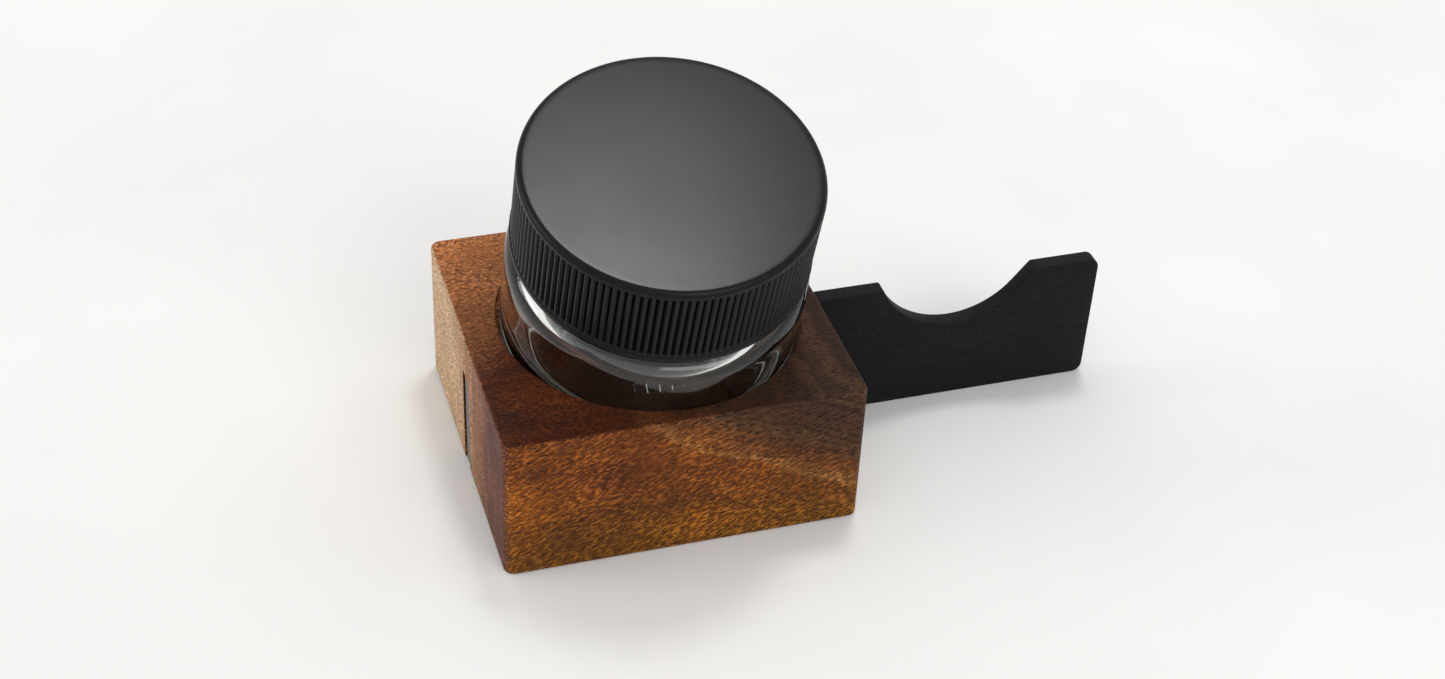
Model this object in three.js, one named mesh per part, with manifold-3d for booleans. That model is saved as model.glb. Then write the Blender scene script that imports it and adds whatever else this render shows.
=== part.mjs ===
// Desk ink jar with its wooden holder: a clear glass screw-top jar that leans towards the writer in a
// tilted pocket of a hardwood block, and a thin pen rest whose tongue slides through a slot under it.
//
// Millimetres, +Z up. The origin is the middle of the block's underside, on the table. +X runs along
// the pen rest, and -Y is the side that faces the writer.

import * as THREE from 'three';
import { mergeVertices } from 'three/addons/utils/BufferGeometryUtils.js';
import Module from 'manifold-3d';

// Holder block: two-inch stock, about seven eighths thick.
const BLOCK_WIDTH = 51.2;
const BLOCK_DEPTH = 49.1;
const BLOCK_HEIGHT = 22.7;
const BLOCK_CORNER_RADIUS = 1.8;
const BLOCK_EDGE_BEVEL = 0.6;

// Tilted line that the pocket, the jar and the cap share, where it meets the block's top.
const LEAN_DEG = 17.2;
const AXIS_X = 1.0;
const POCKET_AXIS_Y = 0.3;
const JAR_AXIS_Y = -0.1;

// Pocket for the jar: its flat floor is square to the leaning line and runs out at the back.
const POCKET_RADIUS = 21.9;
const POCKET_DEPTH = 3.55;

// Slot for the tongue, sawn from below along the whole width.
const SLOT_WIDTH = 3.4;
const SLOT_HEIGHT = 16.2;

// Pen rest: a plate on its edge, with a low tongue and a taller outer part with a round notch.
const PLATE_THICKNESS = 2.6;
const PLATE_HEIGHT = 21.1;
const PLATE_END_X = 70.9;
const PLATE_CORNER_RADIUS = 1.5;
const TONGUE_RECESS = 0.2;
const NOTCH_RADIUS = 12.7;
const NOTCH_X = 48.1;
const NOTCH_FLOOR_Z = 13.3;
const NOTCH_FLARE_Z = 18.0;

// Gap that every pair of touching pieces keeps.
const GAP = 0.3;

// Heights along the leaning line, measured from the block's top.
const CAP_TOP = 31.2;
const CAP_RIM = 16.5;
const JAR_BASE = GAP - POCKET_DEPTH;

// Cap: moulded shell with fine grip ribs.
const CAP_RADIUS = 20.75;
const CAP_FACE_RADIUS = 19.7;
const CAP_EDGE_RADIUS = 0.9;
const CAP_CORE_RADIUS = 20.0;
const CAP_BORE_RADIUS = 19.0;
const CAP_BORE_CHAMFER = 0.4;
const CAP_TOP_WALL = 1.3;
const CAP_RIM_ROUND = 0.45;
const CAP_BAND_HEIGHT = 1.5;
const CAP_COLLAR_HEIGHT = 1.2;
const RIB_COUNT = 126;
const RIB_VALLEY_RADIUS = 20.15;
const RIB_CREST_RADIUS = 20.55;
const RIB_INNER_RADIUS = 19.6;
const RIB_OVERLAP = 0.1;

// Liner: a disc that seals the cap on the jar's lip.
const LINER_RADIUS = 18.6;
const LINER_THICKNESS = 1.0;
const LINER_EDGE_ROUND = 0.2;

// Glass jar.
const JAR_RADIUS = 21.1;
const JAR_HEEL_RADIUS = 2.2;
const JAR_WALL = 1.7;
const JAR_BASE_THICKNESS = 4.2;
const JAR_INNER_HEEL = 2.3;
const JAR_PUSH_UP = 0.7;
const JAR_PUSH_UP_RADIUS = 17.0;
const JAR_STAND_INNER_RADIUS = 18.0;
const JAR_SHOULDER_START = 12.2;
const JAR_SHOULDER_TOP = 14.8;
const JAR_SHOULDER_RADIUS = 19.0;
const JAR_BEAD_RADIUS = 19.3;
const JAR_BEAD_ROUND = 0.5;
const JAR_BEAD_HEIGHT = JAR_SHOULDER_TOP + 0.85;
const JAR_NECK_START = JAR_SHOULDER_TOP + 1.5;
const JAR_NECK_RADIUS = 17.45;
const JAR_MOUTH_RADIUS = 15.3;
const JAR_MOUTH_START = JAR_SHOULDER_TOP + 0.6;
const JAR_INNER_SHOULDER = 3.4;
const JAR_LIP_ROUND = 0.7;

// Screw thread: a continuous-thread finish for a 38 mm cap, six turns to the inch.
const THREAD_PITCH = 25.4 / 6;
const THREAD_TURNS = 1.25;
const THREAD_STEPS_PER_TURN = 40;
const THREAD_RUN_OUT_DEG = 24;
const THREAD_EMBED = 0.45;
const JAR_THREAD_RADIUS = 18.6;
const JAR_THREAD_ROOT_WIDTH = 1.9;
const JAR_THREAD_CREST_WIDTH = 0.9;
const JAR_THREAD_BOTTOM = 21.7;
const CAP_THREAD_RADIUS = 17.85;
const CAP_THREAD_ROOT_WIDTH = 1.6;
const CAP_THREAD_CREST_WIDTH = 0.7;
const CAP_THREAD_LEAD_IN_DEG = -90;

const ROUND_SEGMENTS = 60;
const LEAN = THREE.MathUtils.degToRad(LEAN_DEG);

const wasm = await Module();
wasm.setup();

/** A closed three.js geometry as a solid that can be joined and cut. */
function solid(geometry) {
  const bare = geometry.clone();
  bare.deleteAttribute('normal');
  bare.deleteAttribute('uv');
  const merged = mergeVertices(bare, 1e-5);
  const vertProperties = new Float32Array(merged.attributes.position.array);
  const triVerts = new Uint32Array(merged.index.array);
  return new wasm.Manifold(new wasm.Mesh({ numProp: 3, vertProperties, triVerts }));
}

/** The geometry of a joined or cut solid. */
function geometryOf(body) {
  const mesh = body.getMesh();
  const geometry = new THREE.BufferGeometry();
  geometry.setAttribute('position', new THREE.BufferAttribute(mesh.vertProperties, 3));
  geometry.setIndex(new THREE.BufferAttribute(mesh.triVerts, 1));
  geometry.computeVertexNormals();
  return geometry;
}

/** A closed profile of [radius, height] points turned about Z. It runs anticlockwise: out, up, in. */
function turned(profile) {
  const points = profile.map(([radius, height]) => new THREE.Vector2(radius, height));
  const lathe = new THREE.LatheGeometry(points, ROUND_SEGMENTS);
  lathe.rotateX(Math.PI / 2);
  return lathe;
}

/** Points on an arc about a centre, from one angle to another in degrees, ends included. */
function arc(centreX, centreY, radiusX, radiusY, fromDeg, toDeg, steps) {
  return Array.from({ length: steps + 1 }, (_, step) => {
    const angle = THREE.MathUtils.degToRad(fromDeg + ((toDeg - fromDeg) * step) / steps);
    return [centreX + radiusX * Math.cos(angle), centreY + radiusY * Math.sin(angle)];
  });
}

/**
 * A screw ridge: a long bar bent round Z into a helix, wide at its root and narrow at its crest. Its
 * crest sinks back to the root over the run-out at each end.
 */
function screwRidge({ root, crest, rootWidth, crestWidth, startHeight, startDeg }) {
  const steps = Math.round(THREAD_TURNS * THREAD_STEPS_PER_TURN);
  const bar = new THREE.BoxGeometry(1, 1, 1, steps, 1, 1);
  const position = bar.attributes.position;
  const sweep = THREAD_TURNS * 360;
  for (let i = 0; i < position.count; i += 1) {
    const along = position.getX(i) + 0.5;
    const atCrest = position.getY(i) > 0;
    const side = Math.sign(position.getZ(i));
    const endDistance = Math.min(along, 1 - along) * sweep;
    const rise = THREE.MathUtils.clamp(endDistance / THREAD_RUN_OUT_DEG, 0.05, 1);
    const radius = atCrest ? root + (crest - root) * rise : root;
    const width = atCrest ? crestWidth : rootWidth;
    const angle = THREE.MathUtils.degToRad(startDeg + along * sweep);
    const height = startHeight + (THREAD_PITCH * (startDeg + along * sweep)) / 360;
    position.setXYZ(i, radius * Math.cos(angle), radius * Math.sin(angle), height + (side * width) / 2);
  }
  return bar;
}

/** The ridge as a solid whose faces point outwards, whichever way the crest lies from the root. */
function screwSolid(options) {
  const bar = screwRidge(options);
  if (options.crest > options.root) {
    const index = bar.index.array;
    for (let i = 0; i < index.length; i += 3) {
      [index[i], index[i + 1]] = [index[i + 1], index[i]];
    }
  }
  return solid(bar);
}

/** A mesh of its own name and material. */
function part(name, geometry, color, roughness) {
  const material = new THREE.MeshStandardMaterial({ color, roughness, metalness: 0 });
  const mesh = new THREE.Mesh(geometry, material);
  mesh.name = name;
  return mesh;
}

/** A rectangle with round corners, centred on the origin. */
function roundedRectangle(width, depth, radius) {
  const x = width / 2;
  const y = depth / 2;
  const shape = new THREE.Shape();
  shape.moveTo(-x + radius, -y);
  shape.lineTo(x - radius, -y);
  shape.absarc(x - radius, -y + radius, radius, -Math.PI / 2, 0);
  shape.lineTo(x, y - radius);
  shape.absarc(x - radius, y - radius, radius, 0, Math.PI / 2);
  shape.lineTo(-x + radius, y);
  shape.absarc(-x + radius, y - radius, radius, Math.PI / 2, Math.PI);
  shape.lineTo(-x, -y + radius);
  shape.absarc(-x + radius, -y + radius, radius, Math.PI, Math.PI * 1.5);
  return shape;
}

/** Block with its tilted pocket and the slot sawn from below. */
function holderBlock() {
  const outline = roundedRectangle(
    BLOCK_WIDTH - 2 * BLOCK_EDGE_BEVEL,
    BLOCK_DEPTH - 2 * BLOCK_EDGE_BEVEL,
    BLOCK_CORNER_RADIUS - BLOCK_EDGE_BEVEL,
  );
  const blank = new THREE.ExtrudeGeometry(outline, {
    depth: BLOCK_HEIGHT - 2 * BLOCK_EDGE_BEVEL,
    bevelThickness: BLOCK_EDGE_BEVEL,
    bevelSize: BLOCK_EDGE_BEVEL,
    bevelSegments: 2,
    curveSegments: 4,
  });
  blank.translate(0, 0, BLOCK_EDGE_BEVEL);

  const cutterLength = 2 * BLOCK_HEIGHT;
  const pocket = new THREE.CylinderGeometry(POCKET_RADIUS, POCKET_RADIUS, cutterLength, ROUND_SEGMENTS);
  pocket.rotateX(Math.PI / 2);
  pocket.translate(0, 0, cutterLength / 2 - POCKET_DEPTH);
  pocket.rotateX(LEAN);
  pocket.translate(AXIS_X, POCKET_AXIS_Y, BLOCK_HEIGHT);

  const slot = new THREE.BoxGeometry(2 * BLOCK_WIDTH, SLOT_WIDTH, 2 * SLOT_HEIGHT);
  const block = solid(blank).subtract(solid(pocket)).subtract(solid(slot));
  return part('holder_block', geometryOf(block), 0x7a4526, 0.55);
}

/** Outline of the pen rest, in X and Z. */
function penRestOutline() {
  const tongueEnd = -BLOCK_WIDTH / 2 + TONGUE_RECESS;
  const tongueTop = SLOT_HEIGHT - GAP;
  const shoulder = BLOCK_WIDTH / 2 + GAP;
  const centreZ = NOTCH_FLOOR_Z + NOTCH_RADIUS;
  const leftAngle = Math.PI + Math.asin((centreZ - PLATE_HEIGHT) / NOTCH_RADIUS);
  const flareAngle = 2 * Math.PI - Math.asin((centreZ - NOTCH_FLARE_Z) / NOTCH_RADIUS);
  const flareX = NOTCH_X + NOTCH_RADIUS * Math.cos(flareAngle);
  const flareRun = (PLATE_HEIGHT - NOTCH_FLARE_Z) * Math.tan(2 * Math.PI - flareAngle);
  const corner = PLATE_CORNER_RADIUS;

  const shape = new THREE.Shape();
  shape.moveTo(tongueEnd, 0);
  shape.lineTo(PLATE_END_X - corner, 0);
  shape.absarc(PLATE_END_X - corner, corner, corner, -Math.PI / 2, 0);
  shape.lineTo(PLATE_END_X, PLATE_HEIGHT - corner);
  shape.absarc(PLATE_END_X - corner, PLATE_HEIGHT - corner, corner, 0, Math.PI / 2);
  shape.lineTo(flareX + flareRun, PLATE_HEIGHT);
  shape.absarc(NOTCH_X, centreZ, NOTCH_RADIUS, flareAngle, leftAngle, true);
  shape.lineTo(shoulder, PLATE_HEIGHT);
  shape.lineTo(shoulder, tongueTop);
  shape.lineTo(tongueEnd, tongueTop);
  return shape;
}

/** Pen rest, standing on the table. */
function penRest() {
  const plate = new THREE.ExtrudeGeometry(penRestOutline(), {
    depth: PLATE_THICKNESS,
    bevelEnabled: false,
    curveSegments: 16,
  });
  plate.rotateX(Math.PI / 2);
  plate.translate(0, PLATE_THICKNESS / 2, 0);
  return part('pen_rest', plate, 0x1d1d1e, 0.7);
}

/** Profile of the jar from the middle of its base, up the outside, over the lip and down the inside. */
function jarProfile() {
  const heelCentre = JAR_BASE + JAR_HEEL_RADIUS;
  const innerRadius = JAR_RADIUS - JAR_WALL;
  const floor = JAR_BASE + JAR_BASE_THICKNESS;
  const shoulderRise = JAR_SHOULDER_TOP - JAR_SHOULDER_START;
  const innerShoulderStart = JAR_MOUTH_START - JAR_INNER_SHOULDER;
  const innerStep = innerRadius - JAR_MOUTH_RADIUS;
  const bead = JAR_BEAD_RADIUS - JAR_BEAD_ROUND;
  const lip = CAP_TOP - CAP_TOP_WALL - 2 * GAP - LINER_THICKNESS;
  return [
    [0, JAR_BASE + JAR_PUSH_UP],
    [JAR_PUSH_UP_RADIUS, JAR_BASE + JAR_PUSH_UP],
    [JAR_STAND_INNER_RADIUS, JAR_BASE],
    ...arc(JAR_RADIUS - JAR_HEEL_RADIUS, heelCentre, JAR_HEEL_RADIUS, JAR_HEEL_RADIUS, -90, 0, 4),
    ...arc(JAR_SHOULDER_RADIUS, JAR_SHOULDER_START, JAR_RADIUS - JAR_SHOULDER_RADIUS, shoulderRise, 0, 90, 4),
    ...arc(bead, JAR_BEAD_HEIGHT, JAR_BEAD_ROUND, JAR_BEAD_ROUND, -60, 90, 3),
    [JAR_NECK_RADIUS, JAR_NECK_START],
    ...arc(JAR_NECK_RADIUS - JAR_LIP_ROUND, lip - JAR_LIP_ROUND, JAR_LIP_ROUND, JAR_LIP_ROUND, 0, 90, 3),
    ...arc(JAR_MOUTH_RADIUS + JAR_LIP_ROUND, lip - JAR_LIP_ROUND, JAR_LIP_ROUND, JAR_LIP_ROUND, 90, 180, 3),
    ...arc(JAR_MOUTH_RADIUS, innerShoulderStart, innerStep, JAR_INNER_SHOULDER, 90, 0, 4),
    ...arc(innerRadius - JAR_INNER_HEEL, floor + JAR_INNER_HEEL, JAR_INNER_HEEL, JAR_INNER_HEEL, 0, -90, 5),
    [0, floor],
  ];
}

/** Glass jar with its screw thread. */
function jar() {
  const glass = solid(turned(jarProfile()));
  const thread = screwSolid({
    root: JAR_NECK_RADIUS - THREAD_EMBED,
    crest: JAR_THREAD_RADIUS,
    rootWidth: JAR_THREAD_ROOT_WIDTH,
    crestWidth: JAR_THREAD_CREST_WIDTH,
    startHeight: JAR_THREAD_BOTTOM,
    startDeg: 0,
  });
  return part('jar', geometryOf(glass.add(thread)), 0xdfe8e6, 0.05);
}

/** Profile of the cap's shell from the middle of its ceiling, down the bore, round the rim and up. */
function capProfile() {
  const ceiling = CAP_TOP - CAP_TOP_WALL;
  const bandTop = CAP_RIM + CAP_BAND_HEIGHT;
  const collarBottom = CAP_TOP - CAP_COLLAR_HEIGHT;
  const rimCentre = CAP_RADIUS - CAP_RIM_ROUND;
  return [
    [0, ceiling],
    [CAP_BORE_RADIUS - CAP_BORE_CHAMFER, ceiling],
    [CAP_BORE_RADIUS, ceiling - CAP_BORE_CHAMFER],
    [CAP_BORE_RADIUS, CAP_RIM + CAP_BORE_CHAMFER],
    [CAP_BORE_RADIUS + CAP_BORE_CHAMFER, CAP_RIM],
    ...arc(rimCentre, CAP_RIM + CAP_RIM_ROUND, CAP_RIM_ROUND, CAP_RIM_ROUND, -90, 0, 3),
    ...arc(rimCentre, bandTop - CAP_RIM_ROUND, CAP_RIM_ROUND, CAP_RIM_ROUND, 0, 90, 3),
    [CAP_CORE_RADIUS, bandTop],
    [CAP_CORE_RADIUS, collarBottom],
    [CAP_FACE_RADIUS + CAP_EDGE_RADIUS, collarBottom],
    ...arc(CAP_FACE_RADIUS, CAP_TOP - CAP_EDGE_RADIUS, CAP_EDGE_RADIUS, CAP_EDGE_RADIUS, 0, 90, 3),
    [0, CAP_TOP],
  ];
}

/** Ring of grip ribs, from the cap's smooth band up to its collar. */
function gripRibs() {
  const shape = new THREE.Shape();
  const halfRib = Math.PI / RIB_COUNT;
  for (let i = 0; i < 2 * RIB_COUNT; i += 1) {
    const radius = i % 2 ? RIB_VALLEY_RADIUS : RIB_CREST_RADIUS;
    const x = radius * Math.cos(i * halfRib);
    const y = radius * Math.sin(i * halfRib);
    if (i === 0) {
      shape.moveTo(x, y);
    } else {
      shape.lineTo(x, y);
    }
  }
  const hole = new THREE.Path();
  hole.absarc(0, 0, RIB_INNER_RADIUS, 0, 2 * Math.PI, true);
  shape.holes.push(hole);
  const bottom = CAP_RIM + CAP_BAND_HEIGHT - RIB_OVERLAP;
  const top = CAP_TOP - CAP_COLLAR_HEIGHT + RIB_OVERLAP;
  const ribs = new THREE.ExtrudeGeometry(shape, {
    depth: top - bottom,
    bevelEnabled: false,
    curveSegments: ROUND_SEGMENTS / 2,
  });
  ribs.translate(0, 0, bottom);
  return ribs;
}

/** Screw cap with its grip ribs outside and its thread inside. */
function cap() {
  const thread = screwSolid({
    root: CAP_BORE_RADIUS + THREAD_EMBED,
    crest: CAP_THREAD_RADIUS,
    rootWidth: CAP_THREAD_ROOT_WIDTH,
    crestWidth: CAP_THREAD_CREST_WIDTH,
    startHeight: JAR_THREAD_BOTTOM - THREAD_PITCH / 2,
    startDeg: CAP_THREAD_LEAD_IN_DEG,
  });
  const shell = solid(turned(capProfile())).add(solid(gripRibs())).add(thread);
  return part('cap', geometryOf(shell), 0x232324, 0.45);
}

/** Liner disc, lying loose under the cap's ceiling. */
function capLiner() {
  const top = CAP_TOP - CAP_TOP_WALL - GAP;
  const bottom = top - LINER_THICKNESS;
  const edge = LINER_RADIUS - LINER_EDGE_ROUND;
  const disc = turned([
    [0, bottom],
    ...arc(edge, bottom + LINER_EDGE_ROUND, LINER_EDGE_ROUND, LINER_EDGE_ROUND, -90, 0, 2),
    ...arc(edge, top - LINER_EDGE_ROUND, LINER_EDGE_ROUND, LINER_EDGE_ROUND, 0, 90, 2),
    [0, top],
  ]);
  return part('cap_liner', disc, 0xeceae4, 0.6);
}

/** Jar, liner and cap on the leaning line, sharing one group. */
function leaningGroup() {
  const group = new THREE.Group();
  group.position.set(AXIS_X, JAR_AXIS_Y, BLOCK_HEIGHT);
  group.rotation.x = LEAN;
  group.add(jar(), capLiner(), cap());
  return group;
}

const inkJarAndHolder = new THREE.Group();
inkJarAndHolder.add(holderBlock(), penRest(), leaningGroup());

export default inkJarAndHolder;
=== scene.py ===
"""Desk ink jar in its wooden holder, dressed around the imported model.

A clear glass screw-top jar leans towards the writer in a tilted pocket of an oiled hardwood block, and a
thin black pen rest slides through a slot under the pocket. Sizes are millimetres in the classes below and
metres in the meshes. +X runs along the pen rest and -Y is the writer's side.
"""

import logging
import math
from dataclasses import dataclass, field
from enum import Enum
from typing import Callable, Mapping, Sequence, Union

import bpy
import numpy as np
from mathutils import Matrix


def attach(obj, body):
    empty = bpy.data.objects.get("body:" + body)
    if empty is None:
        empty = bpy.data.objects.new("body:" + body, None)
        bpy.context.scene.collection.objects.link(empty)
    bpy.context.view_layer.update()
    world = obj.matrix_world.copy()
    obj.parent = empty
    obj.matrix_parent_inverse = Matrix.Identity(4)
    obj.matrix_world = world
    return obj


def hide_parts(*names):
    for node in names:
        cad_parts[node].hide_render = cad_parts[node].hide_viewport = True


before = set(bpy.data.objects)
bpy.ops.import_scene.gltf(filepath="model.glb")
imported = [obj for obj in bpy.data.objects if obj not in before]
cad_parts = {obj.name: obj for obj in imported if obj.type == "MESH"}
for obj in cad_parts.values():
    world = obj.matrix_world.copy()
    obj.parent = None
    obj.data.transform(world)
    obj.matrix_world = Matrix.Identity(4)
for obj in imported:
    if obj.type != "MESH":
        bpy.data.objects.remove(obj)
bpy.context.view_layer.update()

LOG = logging.getLogger("ink_jar")
MM = 0.001

Colour = tuple[float, float, float, float]
Value = Union[float, Sequence[float], bpy.types.NodeSocket]


class Body(Enum):
    """Bodies of the moving model."""

    HOLDER = "holder"
    PEN_REST = "pen_rest"
    JAR = "jar"
    LINER = "liner"
    CAP = "cap"


class Slot(Enum):
    """Material slots of the record."""

    WALNUT = "walnut"
    BLACK_WOOD = "black_stained_wood"
    GLASS = "clear_glass"
    PHENOLIC = "black_phenolic"
    FOAM = "liner_foam"


# ---------------------------------------------------------------------------------------------------
# Helpers for shapes


def arc(centre: tuple[float, float], radii: tuple[float, float], start: float, stop: float,
        steps: int) -> np.ndarray:
    """Points on an ellipse arc: centre plus radii times (cosine, sine) of evenly spaced angles.

    Args:
        centre: Centre of the arc.
        radii: Half axes of the ellipse.
        start: First angle in degrees.
        stop: Last angle in degrees.
        steps: Number of intervals.

    Returns:
        Array of (steps + 1, 2) points.
    """
    angle = np.radians(np.linspace(start, stop, steps + 1))
    return np.stack([centre[0] + radii[0] * np.cos(angle), centre[1] + radii[1] * np.sin(angle)], axis=1)


def run(start: tuple[float, float], stop: tuple[float, float], steps: int) -> np.ndarray:
    """Evenly spaced points on a straight line, both ends included.

    Args:
        start: First point.
        stop: Last point.
        steps: Number of intervals.

    Returns:
        Array of (steps + 1, 2) points.
    """
    return np.linspace(start, stop, steps + 1)


def smooth_step(value: np.ndarray, low: float, high: float) -> np.ndarray:
    """Cubic rise from 0 at low to 1 at high: t squared times (3 minus 2 t)."""
    t = np.clip((value - low) / (high - low), 0.0, 1.0)
    return t * t * (3.0 - 2.0 * t)


def closed_surface(name: str, rings: np.ndarray, sharp_deg: float = 40.0) -> bpy.types.Object:
    """Make a closed mesh from rings of points, with its first and last ring drawn to one point each.

    Every ring joins the next with quads that wrap round, and each end ring, whose points coincide, becomes
    one vertex with a fan of triangles.

    Args:
        name: Name of the piece.
        rings: Array of (rings, columns, 3) points in millimetres, which run so that faces point out.
        sharp_deg: Edges that turn more than this stay sharp.

    Returns:
        The new object.
    """
    count, columns = rings.shape[:2]
    inner = rings[1:-1].reshape(-1, 3)
    points = np.concatenate([rings[:1, 0], inner, rings[-1:, 0]]) * MM
    column = np.arange(columns)
    after = (column + 1) % columns
    row = 1 + columns * np.arange(count - 3)[:, None]
    quads = np.stack([row + column, row + after, row + columns + after, row + columns + column], axis=-1)
    last = len(points) - 1
    top = last - columns
    first_fan = np.stack([np.zeros_like(column), 1 + after, 1 + column], axis=-1)
    last_fan = np.stack([np.full_like(column, last), top + column, top + after], axis=-1)
    faces = quads.reshape(-1, 4).tolist() + first_fan.tolist() + last_fan.tolist()
    return mesh_object(name, points, faces, sharp_deg)


def mesh_object(name: str, points: np.ndarray, faces: list[list[int]], sharp_deg: float) -> bpy.types.Object:
    """Make an object at the origin from points in metres and faces that point outwards.

    Args:
        name: Name of the piece.
        points: Array of (n, 3) points.
        faces: Vertex numbers of each face.
        sharp_deg: Edges that turn more than this stay sharp.

    Returns:
        The new object.
    """
    mesh = bpy.data.meshes.new(name)
    mesh.from_pydata(points.tolist(), [], faces)
    mesh.polygons.foreach_set("use_smooth", np.ones(len(mesh.polygons), dtype=bool))
    mesh.set_sharp_from_angle(angle=math.radians(sharp_deg))
    mesh.update()
    thing = bpy.data.objects.new(name, mesh)
    bpy.context.scene.collection.objects.link(thing)
    return thing


def keep_modifiers(thing: bpy.types.Object) -> None:
    """Turn a piece's live modifiers into its mesh."""
    bpy.context.view_layer.update()
    final = bpy.data.meshes.new_from_object(thing.evaluated_get(bpy.context.evaluated_depsgraph_get()))
    final.name = thing.name
    thing.modifiers.clear()
    thing.data = final


@dataclass(frozen=True)
class LeaningLine:
    """Tilted line through the block's top plane: the jar and the cap share one, the pocket has its own."""

    x: float = 1.0
    y: float = -0.1
    top: float = 22.7
    lean_deg: float = 17.2

    @property
    def sideways(self) -> np.ndarray:
        """Unit vector square to the line, level, along the pen rest."""
        return np.array([1.0, 0.0, 0.0])

    @property
    def backward(self) -> np.ndarray:
        """Unit vector square to the line, away from the writer."""
        lean = math.radians(self.lean_deg)
        return np.array([0.0, math.cos(lean), math.sin(lean)])

    @property
    def upward(self) -> np.ndarray:
        """Unit vector up the line, which leans towards the writer."""
        lean = math.radians(self.lean_deg)
        return np.array([0.0, -math.sin(lean), math.cos(lean)])

    def place(self, radius: np.ndarray, angle: np.ndarray, height: np.ndarray) -> np.ndarray:
        """Points at a radius from the line, an angle about it and a height up it.

        Args:
            radius: Distances from the line.
            angle: Angles from sideways towards backward, in radians.
            height: Heights along the line from the block's top plane.

        Returns:
            Points in millimetres with a last axis of three.
        """
        radius, angle, height = np.broadcast_arrays(radius, angle, height)
        origin = np.array([self.x, self.y, self.top])
        return (origin + (radius * np.cos(angle))[..., None] * self.sideways
                + (radius * np.sin(angle))[..., None] * self.backward + height[..., None] * self.upward)


@dataclass(frozen=True)
class ScrewRidge:
    """Trapezium ridge that winds round the leaning line, right-handed, and fades at both ends."""

    depth: float
    root_width: float
    crest_width: float
    bottom: float
    start_deg: float
    pitch: float = 25.4 / 6
    turns: float = 1.25
    run_out_deg: float = 24.0

    def height(self, angle: np.ndarray, level: np.ndarray) -> np.ndarray:
        """Ridge height: a straight flank from root width to crest width, times the fade at the ends.

        Args:
            angle: Angles about the line, in radians from 0 to a full turn.
            level: Heights along the line.

        Returns:
            Height of the ridge above its root surface.
        """
        rise = np.zeros(np.broadcast(angle, level).shape)
        start = math.radians(self.start_deg)
        for turn in range(-1, 3):
            wound = angle + 2 * math.pi * turn - start
            along = wound / (2 * math.pi * self.turns)
            centre = self.bottom + self.pitch * (wound + start) / (2 * math.pi)
            offset = np.abs(level - centre)
            flank = np.clip((self.root_width / 2 - offset) / ((self.root_width - self.crest_width) / 2), 0, 1)
            end = np.minimum(along, 1 - along) * 360 * self.turns
            rise = np.maximum(rise, flank * np.clip(end / self.run_out_deg, 0, 1))
        return self.depth * rise


# ---------------------------------------------------------------------------------------------------
# Helpers for finishes


def colour(code: str) -> Colour:
    """Linear colour of an sRGB hex code such as "7a4526"."""
    parts = [int(code[place:place + 2], 16) / 255 for place in (0, 2, 4)]
    linear = [part / 12.92 if part <= 0.04045 else ((part + 0.055) / 1.055) ** 2.4 for part in parts]
    return (linear[0], linear[1], linear[2], 1.0)


def add_node(tree: bpy.types.NodeTree, kind: str,
             inputs: Union[Mapping[Union[str, int], Value], None] = None,
             stops: Sequence[tuple[float, Colour]] = (), output: Union[str, None] = None,
             **options: object) -> bpy.types.NodeSocket:
    """Add one shader node with its options, its colour stops, its values and its links.

    Args:
        tree: Node tree of the material.
        kind: Node type without its "ShaderNode" prefix.
        inputs: Value or linked socket of each input, by name or by number.
        stops: Positions and colours of a colour ramp.
        output: Name of the output to return, or the first one in use.
        options: Properties of the node.

    Returns:
        The output socket.
    """
    node = tree.nodes.new("ShaderNode" + kind)
    for option, setting in options.items():
        setattr(node, option, setting)
    for key, value in (inputs or {}).items():
        if isinstance(key, int):
            socket = node.inputs[key]
        else:
            socket = next(entry for entry in node.inputs if entry.enabled and entry.name == key)
        if isinstance(value, bpy.types.NodeSocket):
            tree.links.new(value, socket)
        else:
            socket.default_value = value
    if stops:
        elements = node.color_ramp.elements
        while len(elements) < len(stops):
            elements.new(1.0)
        for element, (position, shade) in zip(elements, stops):
            element.position = position
            element.color = shade
    if output is not None:
        return node.outputs[output]
    return next((entry for entry in node.outputs if entry.enabled), None)


def new_material(name: str) -> tuple[bpy.types.Material, bpy.types.NodeTree, bpy.types.NodeSocket]:
    """Make an empty node material.

    Args:
        name: Name of the material.

    Returns:
        The material, its node tree and the piece's own coordinates in metres.
    """
    material = bpy.data.materials.new(name)
    material.use_nodes = True
    tree = material.node_tree
    tree.nodes.clear()
    return material, tree, add_node(tree, "TexCoord", output="Object")


def per_mm(along_x: float, along_y: float, along_z: float) -> tuple[float, float, float]:
    """Mapping scale that makes a texture cell these sizes in millimetres, on coordinates in metres."""
    return (1 / (along_x * MM), 1 / (along_y * MM), 1 / (along_z * MM))


def grey(level: float) -> Colour:
    """Grey of one linear level, for colour ramps that carry a mask."""
    return (level, level, level, 1.0)


def finish_surface(material: bpy.types.Material, tree: bpy.types.NodeTree, shader: Mapping[str, Value],
                   height: bpy.types.NodeSocket, depth_mm: float) -> bpy.types.Material:
    """Close a material with a bump of a real depth and one principled shader.

    Args:
        material: Material to close.
        tree: Its node tree.
        shader: Inputs of the principled shader.
        height: Relief from 0 to 1.
        depth_mm: Height of that relief in millimetres.

    Returns:
        The material.
    """
    bump = add_node(tree, "Bump", {"Height": height, "Distance": depth_mm * MM, "Strength": 1.0})
    surface = add_node(tree, "BsdfPrincipled", {**shader, "Normal": bump})
    add_node(tree, "OutputMaterial", {"Surface": surface})
    return material


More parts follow.
